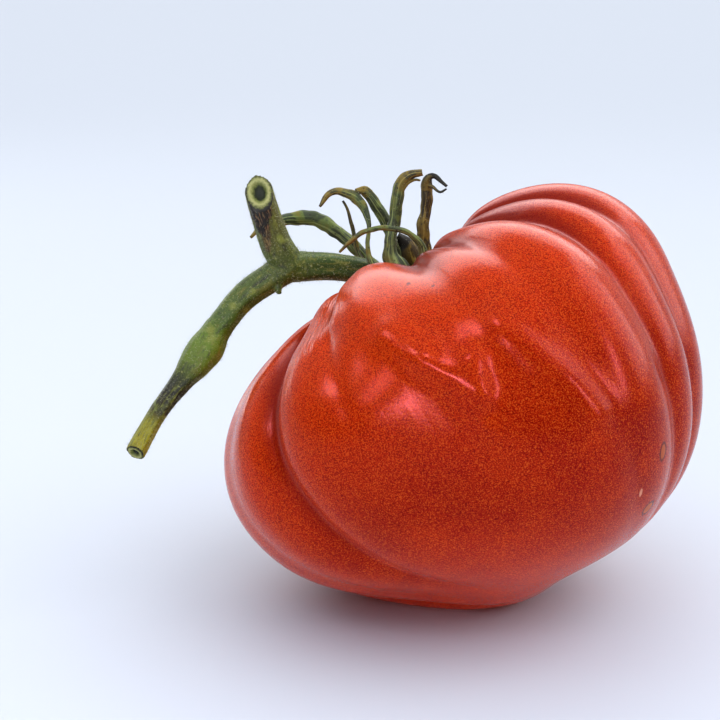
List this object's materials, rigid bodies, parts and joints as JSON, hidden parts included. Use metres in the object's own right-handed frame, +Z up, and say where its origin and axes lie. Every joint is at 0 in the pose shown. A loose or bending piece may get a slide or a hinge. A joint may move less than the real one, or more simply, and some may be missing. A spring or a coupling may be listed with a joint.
{
  "type": "tomato",
  "caption": "Ribbed beefsteak tomato resting on a flat spot, with dried curling sepals and a cut length of truss stem.",
  "frame": {"origin": "on the flat spot that the fruit rests on, under the foot of its stem", "axes": "+Z up as the fruit rests, -Y towards the side with the broad smooth lobe, +X away from the stem"},
  "size_m": [0.1277, 0.1077, 0.0968],
  "materials": {
    "skin": null,
    "stem": "hairy green truss stem, matte, with a dry scabby patch below the upper cut",
    "sepal": "thin dry curling green to brown sepals, matte"
  },
  "bodies": {
    "root": {"fruit": "skin", "truss_stem": "stem", "sepal_1": "sepal", "sepal_2": "sepal", "sepal_3": "sepal", "sepal_4": "sepal", "sepal_5": "sepal", "sepal_6": "sepal", "sepal_7": "sepal", "sepal_8": "sepal"}
  },
  "joints": []
}
